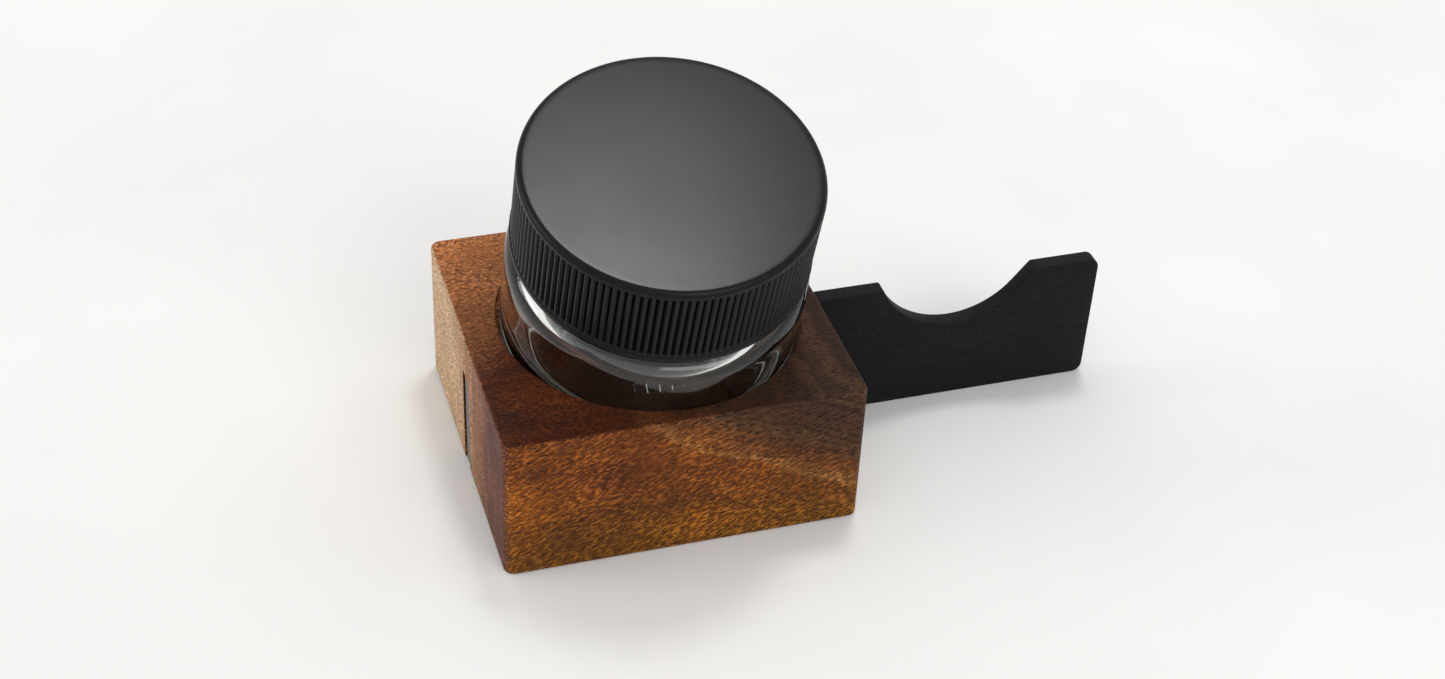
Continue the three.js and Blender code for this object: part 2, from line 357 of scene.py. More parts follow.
@dataclass(frozen=True)
class OiledWalnut:
    """Sawn hardwood, sanded by hand and oiled: satin, with open pores and short wavy flecks.

    The oil deepens the red heartwood and leaves the grain open, so the surface scatters softly and its
    flecks show as pale dashes. Grain runs along X, and growth layers lie square to Y.
    """

    heart_dark: str = "3a1805"
    heart_mid: str = "5a2c08"
    heart_warm: str = "7c420d"
    olive: str = "5c3706"
    band_dark: str = "24140a"
    band_light: str = "48301c"
    band_edge: str = "8f6330"
    pore: str = "140905"
    fleck_gain: tuple[float, float, float] = (3.8, 4.3, 5.4)
    top_grain_and_shade: str = "b29c88"
    back_left: str = "a8683a"
    end_dark: str = "4f2d22"
    end_sheen_mid: str = "8c6142"
    end_sheen_light: str = "b6946e"
    roughness: float = 0.55
    open_grain_roughness: float = 0.66
    ior: float = 1.5
    specular: float = 0.16
    relief_mm: float = 0.05
    layer_mm: tuple[float, float, float] = (45.0, 1.1, 14.0)
    fleck_mm: tuple[float, float, float] = (1.0, 0.3, 0.24)
    fleck_slant_deg: float = 24.0
    pore_mm: tuple[float, float, float] = (0.9, 0.25, 0.3)
    end_line_mm: tuple[float, float, float] = (9.0, 0.45, 30.0)
    band_normal: tuple[float, float, float] = (0.45, 0.06, 0.89)
    band_layer_mm: float = 1.7

    def material(self) -> bpy.types.Material:
        """Build the wood.

        Returns:
            The material.
        """
        material, tree, place = new_material("oiled_walnut")
        grain = self._grain(tree, place)
        flecks = self._flecks(tree, place)
        pores = self._pores(tree, place)
        shade = self._heartwood(tree, place, grain)
        shade = self._olive_foot(tree, place, shade)
        shade = self._grey_band(tree, place, shade)
        shade = self._faces(tree, place, grain, shade)
        paler = add_node(tree, "VectorMath", {0: shade, 1: self.fleck_gain}, operation="MULTIPLY")
        light = add_node(tree, "Mix", {"Factor": flecks, "A": shade, "B": paler}, data_type="RGBA")
        dark = add_node(tree, "Mix", {"Factor": pores, "A": light, "B": colour(self.pore)},
                        data_type="RGBA")
        relief = add_node(tree, "Math", {0: flecks, 1: pores}, operation="SUBTRACT")
        rough = add_node(tree, "MapRange", {"Value": relief, "From Min": -0.4, "From Max": 0.6,
                                            "To Min": self.open_grain_roughness,
                                            "To Max": self.roughness})
        return finish_surface(material, tree, {
            "Base Color": dark, "Roughness": rough, "IOR": self.ior, "Specular IOR Level": self.specular,
        }, relief, self.relief_mm)

    def _grain(self, tree: bpy.types.NodeTree, place: bpy.types.NodeSocket) -> bpy.types.NodeSocket:
        """Long thin growth layers: noise cells 45 mm along the grain, 1.1 mm across it, from 0 to 1."""
        bend = add_node(tree, "Mapping", {"Vector": place, "Scale": per_mm(28, 28, 28)})
        sway = add_node(tree, "TexNoise", {"Vector": bend, "Scale": 1.0, "Detail": 1.0}, output="Color")
        centred = add_node(tree, "VectorMath", {0: sway, 1: (0.5, 0.5, 0.5)}, operation="SUBTRACT")
        shifted = add_node(tree, "VectorMath", {0: centred, 1: (0, 9 * MM, 3 * MM), 2: place},
                           operation="MULTIPLY_ADD")
        cells = add_node(tree, "Mapping", {"Vector": shifted, "Scale": per_mm(*self.layer_mm)})
        return add_node(tree, "TexNoise", {"Vector": cells, "Scale": 1.0, "Detail": 3.0,
                                           "Roughness": 0.6})

    def _flecks(self, tree: bpy.types.NodeTree, place: bpy.types.NodeSocket) -> bpy.types.NodeSocket:
        """Pale dashes 1 mm long and 0.3 mm wide, slanted in the flat-sawn faces, fainter elsewhere."""
        turn = (0.0, math.radians(self.fleck_slant_deg), 0.0)
        slant = add_node(tree, "Mapping", {"Vector": place, "Rotation": turn})
        cells = add_node(tree, "Mapping", {"Vector": slant, "Scale": per_mm(*self.fleck_mm)})
        dash = add_node(tree, "TexNoise", {"Vector": cells, "Scale": 1.0, "Detail": 1.5,
                                           "Roughness": 0.45, "Distortion": 0.5})
        shown = add_node(tree, "ValToRGB", {"Fac": dash}, stops=[(0.49, grey(0)), (0.6, grey(1.0))])
        patch_cells = add_node(tree, "Mapping", {"Vector": place, "Scale": per_mm(11, 9, 7)})
        patch = add_node(tree, "TexNoise", {"Vector": patch_cells, "Scale": 1.0, "Detail": 2.0})
        amount = add_node(tree, "MapRange", {"Value": patch, "From Min": 0.3, "From Max": 0.6,
                                             "To Min": 0.35, "To Max": 1.0})
        facing = add_node(tree, "TexCoord", output="Normal")
        front = add_node(tree, "VectorMath", {0: facing, 1: (0.0, 1.0, 0.0)}, operation="DOT_PRODUCT",
                         output="Value")
        flat_sawn = add_node(tree, "Math", {0: front}, operation="ABSOLUTE")
        share = add_node(tree, "MapRange", {"Value": flat_sawn, "From Min": 0.3, "From Max": 0.9,
                                            "To Min": 0.55, "To Max": 1.0})
        spread = add_node(tree, "Math", {0: shown, 1: amount}, operation="MULTIPLY")
        outside = add_node(tree, "MapRange", {"Value": self._band(tree, place), "To Min": 1.0,
                                              "To Max": 0.3})
        thinned = add_node(tree, "Math", {0: spread, 1: outside}, operation="MULTIPLY")
        return add_node(tree, "Math", {0: thinned, 1: share}, operation="MULTIPLY")

    def _pores(self, tree: bpy.types.NodeTree, place: bpy.types.NodeSocket) -> bpy.types.NodeSocket:
        """Open pores: dark dashes 0.9 mm long and 0.25 mm wide, denser in the grey band."""
        cells = add_node(tree, "Mapping", {"Vector": place, "Scale": per_mm(*self.pore_mm)})
        dots = add_node(tree, "TexNoise", {"Vector": cells, "Scale": 1.0, "Detail": 1.0})
        edge = add_node(tree, "MapRange", {"Value": self._band(tree, place), "To Min": 0.6,
                                           "To Max": 0.545})
        depth = add_node(tree, "Math", {0: dots, 1: edge}, operation="SUBTRACT")
        return add_node(tree, "MapRange", {"Value": depth, "From Max": 0.08, "To Max": 0.75})

    def _heartwood(self, tree: bpy.types.NodeTree, place: bpy.types.NodeSocket,
                   grain: bpy.types.NodeSocket) -> bpy.types.NodeSocket:
        """Red-brown heartwood: broad clouds of orange over deeper layers."""
        cells = add_node(tree, "Mapping", {"Vector": place, "Scale": per_mm(24, 15, 13)})
        clouds = add_node(tree, "TexNoise", {"Vector": cells, "Scale": 1.0, "Detail": 3.0})
        tone = add_node(tree, "Math", {0: clouds, 1: 0.9, 2: -0.22}, operation="MULTIPLY_ADD")
        mixed = add_node(tree, "Math", {0: grain, 1: 0.5, 2: tone}, operation="MULTIPLY_ADD")
        return add_node(tree, "ValToRGB", {"Fac": mixed}, stops=[
            (0.3, colour(self.heart_dark)), (0.5, colour(self.heart_mid)),
            (0.72, colour(self.heart_warm))])

    def _olive_foot(self, tree: bpy.types.NodeTree, place: bpy.types.NodeSocket,
                    shade: bpy.types.NodeSocket) -> bpy.types.NodeSocket:
        """Golden-olive tone towards the foot of the block."""
        level = add_node(tree, "SeparateXYZ", {"Vector": place}, output="Z")
        amount = add_node(tree, "MapRange", {"Value": level, "From Min": 1 * MM, "From Max": 13 * MM,
                                             "To Min": 0.7, "To Max": 0.0})
        return add_node(tree, "Mix", {"Factor": amount, "A": shade, "B": colour(self.olive)},
                        data_type="RGBA")

    def _faces(self, tree: bpy.types.NodeTree, place: bpy.types.NodeSocket, grain: bpy.types.NodeSocket,
               shade: bpy.types.NodeSocket) -> bpy.types.NodeSocket:
        """Darker on top, partly the wood's own tone and partly painted shade, but less at the back left and
        in the band; on the left end face a tone that pales towards the back, partly the end grain's own
        colour and partly painted sheen.
        """
        facing = add_node(tree, "TexCoord", output="Normal")
        up = add_node(tree, "SeparateXYZ", {"Vector": facing}, output="Z")
        left = add_node(tree, "SeparateXYZ", {"Vector": facing}, output="X")
        back_left = add_node(tree, "VectorMath", {0: place, 1: (-0.5, 0.87, 0.0)}, operation="DOT_PRODUCT",
                             output="Value")
        spared = add_node(tree, "MapRange", {"Value": back_left, "From Min": 4 * MM, "From Max": 30 * MM,
                                             "To Min": 1.0, "To Max": 0.0})
        plain = add_node(tree, "MapRange", {"Value": self._band(tree, place), "To Min": 1.0, "To Max": 0.3})
        # Painted shade: the upward-facing top is multiplied darker, partly the wood's own tone and partly
        # shade, less at the back left and in the band.
        on_top = add_node(tree, "MapRange", {"Value": up, "From Min": 0.5, "From Max": 0.95})
        darkened = add_node(tree, "Math", {0: on_top, 1: spared}, operation="MULTIPLY")
        darkened = add_node(tree, "Math", {0: darkened, 1: plain}, operation="MULTIPLY")
        top = add_node(tree, "Mix", {"Factor": darkened, "A": shade, "B": colour(self.top_grain_and_shade)},
                       data_type="RGBA", blend_type="MULTIPLY")
        kept = add_node(tree, "Math", {0: 1.0, 1: spared}, operation="SUBTRACT")
        warmed = add_node(tree, "Math", {0: on_top, 1: kept}, operation="MULTIPLY")
        amount = add_node(tree, "Math", {0: warmed, 1: 0.6}, operation="MULTIPLY")
        top = add_node(tree, "Mix", {"Factor": amount, "A": top, "B": colour(self.back_left)},
                       data_type="RGBA")
        # Painted sheen: the left end face pales towards the back in place of its grazing reflection, over the
        # end grain's own lines and purplish front.
        depth = add_node(tree, "SeparateXYZ", {"Vector": place}, output="Y")
        along = add_node(tree, "MapRange", {"Value": depth, "From Min": -24 * MM, "From Max": 24 * MM,
                                            "To Min": -0.17, "To Max": 0.83})
        cells = add_node(tree, "Mapping", {"Vector": place, "Scale": per_mm(*self.end_line_mm)})
        lines = add_node(tree, "TexNoise", {"Vector": cells, "Scale": 1.0, "Detail": 3.0, "Roughness": 0.7})
        combined = add_node(tree, "Math", {0: lines, 1: 0.6, 2: along}, operation="MULTIPLY_ADD")
        streaked = add_node(tree, "Math", {0: grain, 1: 0.45, 2: combined}, operation="MULTIPLY_ADD")
        end = add_node(tree, "ValToRGB", {"Fac": streaked}, stops=[
            (0.5, colour(self.end_dark)), (0.8, colour(self.end_sheen_mid)), (1.0, colour(self.end_sheen_light))])
        on_left = add_node(tree, "MapRange", {"Value": left, "From Min": -0.5, "From Max": -0.95,
                                              "To Max": 0.8})
        return add_node(tree, "Mix", {"Factor": on_left, "A": top, "B": end}, data_type="RGBA")

    def _band(self, tree: bpy.types.NodeTree, place: bpy.types.NodeSocket) -> bpy.types.NodeSocket:
        """Mask of the grey band: it starts at a slanted plane through the block's top, right of centre."""
        across = add_node(tree, "VectorMath", {0: place, 1: self.band_normal}, operation="DOT_PRODUCT",
                          output="Value")
        cells = add_node(tree, "Mapping", {"Vector": place, "Scale": per_mm(20, 12, 10)})
        sway = add_node(tree, "TexNoise", {"Vector": cells, "Scale": 1.0, "Detail": 3.0})
        moved = add_node(tree, "Math", {0: sway, 1: 6 * MM, 2: across}, operation="MULTIPLY_ADD")
        return add_node(tree, "MapRange", {"Value": moved, "From Min": 17.6 * MM, "From Max": 23.4 * MM})

    def _grey_band(self, tree: bpy.types.NodeTree, place: bpy.types.NodeSocket,
                   shade: bpy.types.NodeSocket) -> bpy.types.NodeSocket:
        """Grey-brown figure with its own thin dark and light layers and a golden streak along its edge."""
        across = add_node(tree, "VectorMath", {0: place, 1: self.band_normal}, operation="DOT_PRODUCT",
                          output="Value")
        cells = add_node(tree, "Mapping", {"Vector": place, "Scale": per_mm(16, 10, 16)})
        sway = add_node(tree, "TexNoise", {"Vector": cells, "Scale": 1.0, "Detail": 3.0})
        moved = add_node(tree, "Math", {0: sway, 1: 5 * MM, 2: across}, operation="MULTIPLY_ADD")
        layer_place = add_node(tree, "CombineXYZ", {"X": moved})
        layers = add_node(tree, "TexNoise", {"Vector": layer_place, "Scale": 1 / (self.band_layer_mm * MM),
                                             "Detail": 2.0})
        tone = add_node(tree, "ValToRGB", {"Fac": layers}, stops=[
            (0.36, colour(self.band_dark)), (0.62, colour(self.band_light))])
        band = self._band(tree, place)
        streak = add_node(tree, "ValToRGB", {"Fac": band}, stops=[
            (0.0, grey(0)), (0.14, grey(0.34)), (0.34, grey(0))])
        edged = add_node(tree, "Mix", {"Factor": streak, "A": shade, "B": colour(self.band_edge)},
                         data_type="RGBA")
        amount = add_node(tree, "Math", {0: band, 1: 0.88}, operation="MULTIPLY")
        return add_node(tree, "Mix", {"Factor": amount, "A": edged, "B": tone}, data_type="RGBA")


@dataclass(frozen=True)
class BlackStainedWood:
    """Close-grained wood, sawn thin and dyed black: matte, with the dye thinner on raised grain."""

    dye: str = "0d0d0e"
    worn: str = "202023"
    end_sheen_grey: str = "7c7d80"
    roughness: float = 0.62
    ior: float = 1.5
    specular: float = 0.14
    relief_mm: float = 0.09
    grain_mm: tuple[float, float, float] = (5.0, 0.5, 0.4)
    speck_mm: tuple[float, float, float] = (0.5, 0.25, 0.22)

    def material(self) -> bpy.types.Material:
        """Build the black wood.

        Returns:
            The material.
        """
        material, tree, place = new_material("black_stained_wood")
        cells = add_node(tree, "Mapping", {"Vector": place, "Scale": per_mm(*self.grain_mm)})
        grain = add_node(tree, "TexNoise", {"Vector": cells, "Scale": 1.0, "Detail": 3.0, "Roughness": 0.6})
        speck_cells = add_node(tree, "Mapping", {"Vector": place, "Scale": per_mm(*self.speck_mm)})
        specks = add_node(tree, "TexNoise", {"Vector": speck_cells, "Scale": 1.0, "Detail": 2.0})
        mixed = add_node(tree, "Math", {0: grain, 1: specks}, operation="MULTIPLY")
        shade = add_node(tree, "ValToRGB", {"Fac": mixed}, stops=[
            (0.2, colour(self.dye)), (0.46, colour(self.worn))])
        # Painted sheen: the -X end face is mixed towards grey in place of the grazing reflection on that end.
        facing = add_node(tree, "TexCoord", output="Normal")
        left = add_node(tree, "SeparateXYZ", {"Vector": facing}, output="X")
        end_sheen_mask = add_node(tree, "MapRange", {"Value": left, "From Min": -0.8, "From Max": -0.98,
                                             "To Max": 0.75})
        shade = add_node(tree, "Mix", {"Factor": end_sheen_mask, "A": shade, "B": colour(self.end_sheen_grey)},
                         data_type="RGBA")
        rough = add_node(tree, "MapRange", {"Value": grain, "From Min": 0.3, "From Max": 0.7,
                                            "To Min": self.roughness - 0.08,
                                            "To Max": self.roughness + 0.1})
        return finish_surface(material, tree, {
            "Base Color": shade, "Roughness": rough, "IOR": self.ior, "Specular IOR Level": self.specular,
        }, mixed, self.relief_mm)


@dataclass(frozen=True)
class FlintGlass:
    """Clear soda-lime glass, pressed and fire-polished: sharp reflections over slightly uneven walls."""

    tint: str = "f6faf8"
    ior: float = 1.52
    roughness: float = 0.015
    sway_mm: tuple[float, float, float] = (7.0, 7.0, 9.0)
    relief_mm: float = 0.02

    def material(self) -> bpy.types.Material:
        """Build the glass.

        Returns:
            The material.
        """
        material, tree, place = new_material("flint_glass")
        cells = add_node(tree, "Mapping", {"Vector": place, "Scale": per_mm(*self.sway_mm)})
        sway = add_node(tree, "TexNoise", {"Vector": cells, "Scale": 1.0, "Detail": 1.0})
        return finish_surface(material, tree, {
            "Base Color": colour(self.tint), "Roughness": self.roughness, "IOR": self.ior,
            "Transmission Weight": 1.0,
        }, sway, self.relief_mm)


@dataclass(frozen=True)
class MouldedPhenolic:
    """Black phenolic resin from a hot mould: satin face with a fine orange-peel and a few pale specks."""

    name: str = "black_phenolic_face"
    resin: str = "0c0c0d"
    speck: str = "6d6d6f"
    roughness: float = 0.24
    shine: float = 0.16
    ior: float = 1.58
    orange_peel_mm: float = 0.3
    speck_mm: float = 0.8
    cloud_mm: float = 9.0
    relief_mm: float = 0.004

    def material(self) -> bpy.types.Material:
        """Build the resin.

        Returns:
            The material.
        """
        material, tree, place = new_material(self.name)
        fine_cells = add_node(tree, "Mapping", {"Vector": place, "Scale": per_mm(*[self.orange_peel_mm] * 3)})
        fine = add_node(tree, "TexNoise", {"Vector": fine_cells, "Scale": 1.0, "Detail": 2.0})
        speck_cells = add_node(tree, "Mapping", {"Vector": place, "Scale": per_mm(*[self.speck_mm] * 3)})
        specks = add_node(tree, "TexVoronoi", {"Vector": speck_cells, "Scale": 1.0}, output="Distance")
        shown = add_node(tree, "ValToRGB", {"Fac": specks}, stops=[(0.03, grey(0.5)), (0.085, grey(0))])
        shade = add_node(tree, "Mix", {"Factor": shown, "A": colour(self.resin), "B": colour(self.speck)},
                         data_type="RGBA")
        cloud_cells = add_node(tree, "Mapping", {"Vector": place, "Scale": per_mm(*[self.cloud_mm] * 3)})
        clouds = add_node(tree, "TexNoise", {"Vector": cloud_cells, "Scale": 1.0, "Detail": 3.0})
        rough = add_node(tree, "MapRange", {"Value": clouds, "From Min": 0.3, "From Max": 0.7,
                                            "To Min": self.roughness - 0.01,
                                            "To Max": self.roughness + 0.015})
        return finish_surface(material, tree, {
            "Base Color": shade, "Roughness": rough, "IOR": self.ior, "Specular IOR Level": self.shine,
        }, fine, self.relief_mm)


@dataclass(frozen=True)
class LinerFoam:
    """Foamed polyethylene sheet, die-cut: chalky white with fine closed cells."""

    sheet: str = "e9e7df"
    shadow: str = "cfccc2"
    roughness: float = 0.7
    cell_mm: float = 0.45
    relief_mm: float = 0.04

    def material(self) -> bpy.types.Material:
        """Build the foam.

        Returns:
            The material.
        """
        material, tree, place = new_material("liner_foam")
        cells = add_node(tree, "Mapping", {"Vector": place, "Scale": per_mm(*[self.cell_mm] * 3)})
        bubbles = add_node(tree, "TexVoronoi", {"Vector": cells, "Scale": 1.0}, output="Distance")
        shade = add_node(tree, "Mix", {"Factor": bubbles, "A": colour(self.shadow), "B": colour(self.sheet)},
                         data_type="RGBA")
        return finish_surface(material, tree, {"Base Color": shade, "Roughness": self.roughness},
                              bubbles, self.relief_mm)


@dataclass(frozen=True)
class PaintedBoard:
    """Table board under white matte paint, with a faint roller mottle."""

    paint: str = "ebeae7"
    thin_paint: str = "e6e4e1"
    roughness: float = 0.75
    specular: float = 0.2
    mottle_mm: float = 60.0
    stipple_mm: float = 1.5
    relief_mm: float = 0.02

    def material(self) -> bpy.types.Material:
        """Build the paint.

        Returns:
            The material.
        """
        material, tree, place = new_material("painted_board")
        cells = add_node(tree, "Mapping", {"Vector": place, "Scale": per_mm(*[self.mottle_mm] * 3)})
        mottle = add_node(tree, "TexNoise", {"Vector": cells, "Scale": 1.0, "Detail": 4.0})
        shade = add_node(tree, "ValToRGB", {"Fac": mottle}, stops=[
            (0.3, colour(self.thin_paint)), (0.7, colour(self.paint))])
        fine_cells = add_node(tree, "Mapping", {"Vector": place, "Scale": per_mm(*[self.stipple_mm] * 3)})
        fine = add_node(tree, "TexNoise", {"Vector": fine_cells, "Scale": 1.0, "Detail": 2.0})
        return finish_surface(material, tree, {
            "Base Color": shade, "Roughness": self.roughness, "Specular IOR Level": self.specular,
        }, fine, self.relief_mm)


def dress(piece: bpy.types.Object, material: bpy.types.Material, body: Body,
          node: str) -> bpy.types.Object:
    """Give a piece its finish and say what it rides on and stands for.

    Args:
        piece: The finished piece.
        material: Its finish.
        body: Body that carries it.
        node: CAD node that it stands for.

    Returns:
        The same piece.
    """
    piece.data.materials.clear()
    piece.data.materials.append(material)
    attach(piece, body.value)
    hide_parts(node)
    return piece


# ---------------------------------------------------------------------------------------------------
# Pieces


@dataclass
class HolderBlock:
    """Hardwood block with the jar's tilted pocket in its top and the pen rest's slot underneath."""

    width: float = 51.2
    depth: float = 49.1
    height: float = 22.7
    corner_radius: float = 1.5
    top_ease: float = 0.55
    foot_ease: float = 0.5
    pocket_radius: float = 21.6
    pocket_depth: float = 3.55
    pocket_line: LeaningLine = field(default_factory=lambda: LeaningLine(x=1.05, y=0.28))
    rim_ease: float = 0.12
    slot_width: float = 3.4
    slot_height: float = 16.2
    side_steps: int = 72
    corner_steps: int = 12

    def build(self) -> bpy.types.Object:
        """Build and dress the block.

        Returns:
            The block.
        """
        block = closed_surface("holder_block_wood", self._rings(), 50.0)
        self._saw_slot(block)
        return dress(block, OiledWalnut().material(), Body.HOLDER, "holder_block")

    def _outline(self, inset: float) -> np.ndarray:
        """Rounded rectangle: each corner's quarter arc joined to the next by a straight side.

        Args:
            inset: Distance to draw the outline in.

        Returns:
            Array of (columns, 2) points, anticlockwise from the front right corner.
        """
        half_x = self.width / 2 - self.corner_radius
        half_y = self.depth / 2 - self.corner_radius
        radius = max(self.corner_radius - inset, 0.2)
        pull = max(inset - self.corner_radius + 0.2, 0.0)
        centres = [(half_x - pull, pull - half_y), (half_x - pull, half_y - pull),
                   (pull - half_x, half_y - pull), (pull - half_x, pull - half_y)]
        corners = [arc(centre, (radius, radius), -90 + 90 * turn, 90 * turn, self.corner_steps)
                   for turn, centre in enumerate(centres)]
        pieces = []
        for corner, following in zip(corners, corners[1:] + corners[:1]):
            side = run(tuple(corner[-1]), tuple(following[0]), self.side_steps)[1:-1]
            pieces += [corner, side]
        return np.concatenate(pieces)

    def _ring(self, inset: float, level: float) -> np.ndarray:
        """Outline drawn in by an inset, at one height."""
        outline = self._outline(inset)
        return np.column_stack([outline, np.full(len(outline), level)])

    def _rings(self) -> np.ndarray:
        """Rings from the middle of the foot, up the sides, over the top and into the pocket.

        Returns:
            Array of (rings, columns, 3) points.
        """
        foot = self.foot_ease
        ease = self.top_ease
        rings = [self._ring(share * self.depth / 2, 0.0) for share in (0.6, 0.2)]
        rings = [np.zeros_like(rings[0])] + rings
        for inset, level in arc((foot, foot), (-foot, -foot), 90, 0, 5):
            rings.append(self._ring(inset, level))
        for level in np.linspace(foot, self.height - ease, 10)[1:-1]:
            rings.append(self._ring(0.0, level))
        for inset, level in arc((ease, self.height - ease), (-ease, ease), 0, 90, 6):
            rings.append(self._ring(inset, level))
        edge = rings[-1]
        rim, wall, floor = self._pocket(edge)
        outer_rim = rim + self._outward(rim) * self.rim_ease
        for share in np.linspace(0, 1, 7)[1:]:
            rings.append(edge + (outer_rim - edge) * share)
        for bend in np.radians(np.linspace(0, 90, 5)[1:]):
            eased = rim + self._outward(rim) * self.rim_ease * (1 - math.sin(bend))
            eased = eased - self._fall(rim, floor) * (1 - math.cos(bend))
            rings.append(eased)
        rings += list(wall)
        centre = self.pocket_line.place(0.0, 0.0, -self.pocket_depth)
        for share in (0.97, 0.8, 0.55, 0.3, 0.12, 0.05):
            rings.append(centre + (floor - centre) * share)
        rings.append(np.broadcast_to(centre - 0.6 * self.pocket_line.upward, floor.shape))
        return np.stack(rings)

    def _outward(self, rim: np.ndarray) -> np.ndarray:
        """Level unit vectors from the pocket's middle to its rim."""
        away = rim - np.array([self.pocket_line.x, self.pocket_line.y, self.height])
        away[:, 2] = 0.0
        return away / np.linalg.norm(away, axis=1)[:, None]

    def _fall(self, rim: np.ndarray, floor: np.ndarray) -> np.ndarray:
        """Drop of the eased rim: the rim's ease, or the wall's height where that is less."""
        drop = rim - floor
        height = np.linalg.norm(drop, axis=1)
        limit = np.minimum(self.rim_ease, height * 0.5)
        return drop / np.maximum(height, 1e-6)[:, None] * limit[:, None]

    def _pocket(self, edge: np.ndarray) -> tuple[np.ndarray, list[np.ndarray], np.ndarray]:
        """Pocket of a flat cutter sunk along the leaning line, whose floor runs out at the back.

        The floor's edge lies at the cutter's radius, or nearer where the floor meets the block's top: there
        its distance is the run-out line's distance over the sine of the angle. The rim is straight above
        the floor's edge along the leaning line.

        Args:
            edge: Ring whose directions from the pocket's middle set the columns.

        Returns:
            The rim, the rings between rim and floor, and the floor's edge.
        """
        line = self.pocket_line
        lean = math.radians(line.lean_deg)
        angle = np.arctan2((edge[:, 1] - line.y) * math.cos(lean), edge[:, 0] - line.x)
        run_out = self.pocket_depth * math.cos(lean) / math.sin(lean)
        sine = np.sin(angle)
        reach = np.where(sine > 0, run_out / np.maximum(sine, 1e-6), np.inf)
        radius = np.minimum(self.pocket_radius, reach)
        floor = line.place(radius, angle, np.full_like(angle, -self.pocket_depth))
        climb = np.maximum(self.height - floor[:, 2], 0.0) / math.cos(lean)
        rim = floor + climb[:, None] * line.upward
        top_of_wall = rim - self._fall(rim, floor)
        wall = [top_of_wall + (floor - top_of_wall) * share for share in (0.5, 1.0)]
        return rim, wall, floor

    def _saw_slot(self, block: bpy.types.Object) -> None:
        """Cut the slot along X, open below, and keep the result as the block's mesh."""
        half = self.slot_width / 2
        reach = self.width
        corners = np.array([[x, y, z] for x in (-reach, reach) for y in (-half, half)
                            for z in (-self.slot_height, self.slot_height)]) * MM
        faces = [[0, 1, 3, 2], [4, 6, 7, 5], [0, 4, 5, 1], [2, 3, 7, 6], [0, 2, 6, 4], [1, 5, 7, 3]]
        blade = mesh_object("slot_blade", corners, faces, 30.0)
        cut = block.modifiers.new("slot", "BOOLEAN")
        cut.operation = "DIFFERENCE"
        cut.solver = "EXACT"
        cut.object = blade
        keep_modifiers(block)
        bpy.data.objects.remove(blade)
        block.data.set_sharp_from_angle(angle=math.radians(50))


@dataclass
class PenRest:
    """Thin black plate on its edge: a low tongue for the slot and an outer part with a round notch."""

    tongue_end: float = -25.4
    shoulder: float = 25.9
    plate_end: float = 70.9
    tongue_top: float = 15.9
    plate_top: float = 21.1
    thickness: float = 2.6
    corner: float = 1.5
    edge_ease: float = 0.28
    notch_x: float = 48.1
    notch_radius: float = 12.7
    notch_floor: float = 13.3
    flare_level: float = 18.0

    def build(self) -> bpy.types.Object:
        """Build and dress the pen rest.

        Returns:
            The pen rest.
        """
        outline = self._outline()
        count = len(outline)
        half = self.thickness / 2
        front = np.column_stack([outline[:, 0], np.full(count, -half), outline[:, 1]])
        back = front + np.array([0.0, self.thickness, 0.0])
        number = np.arange(count)
        after = (number + 1) % count
        sides = np.stack([number, number + count, after + count, after], axis=-1).tolist()
        faces = [number.tolist(), (number[::-1] + count).tolist()] + sides
        rest = mesh_object("pen_rest_plate", np.concatenate([front, back]) * MM, faces, 60.0)
        soften = rest.modifiers.new("eased_edges", "BEVEL")
        soften.width = self.edge_ease * MM
        soften.segments = 3
        soften.limit_method = "ANGLE"
        soften.angle_limit = math.radians(50)
        keep_modifiers(rest)
        rest.data.set_sharp_from_angle(angle=math.radians(50))
        return dress(rest, BlackStainedWood().material(), Body.PEN_REST, "pen_rest")

    def _outline(self) -> np.ndarray:
        """Outline in X and Z, anticlockwise seen from the writer's side.

        The notch is an arc about a centre above the plate. On its outer side the arc ends at the flare
        level and goes on up its tangent.

        Returns:
            Array of (n, 2) points.
        """
        radius = self.notch_radius
        centre = (self.notch_x, self.notch_floor + radius)
        left = 180 + math.degrees(math.asin((centre[1] - self.plate_top) / radius))
        flare = 360 - math.degrees(math.asin((centre[1] - self.flare_level) / radius))
        flare_x = centre[0] + radius * math.cos(math.radians(flare))
        lean = (self.plate_top - self.flare_level) * math.tan(math.radians(360 - flare))
        corner = self.corner
        low = (self.plate_end - corner, corner)
        high = (self.plate_end - corner, self.plate_top - corner)
        return np.concatenate([
            run((self.tongue_end, 0.0), (self.plate_end - corner, 0.0), 24)[:-1],
            arc(low, (corner, corner), -90, 0, 8),
            arc(high, (corner, corner), 0, 90, 8),
            [(flare_x + lean, self.plate_top)],
            arc(centre, (radius, radius), flare, left, 48),
            [(self.shoulder, self.plate_top), (self.shoulder, self.tongue_top)],
            [(self.tongue_end, self.tongue_top)],
        ])


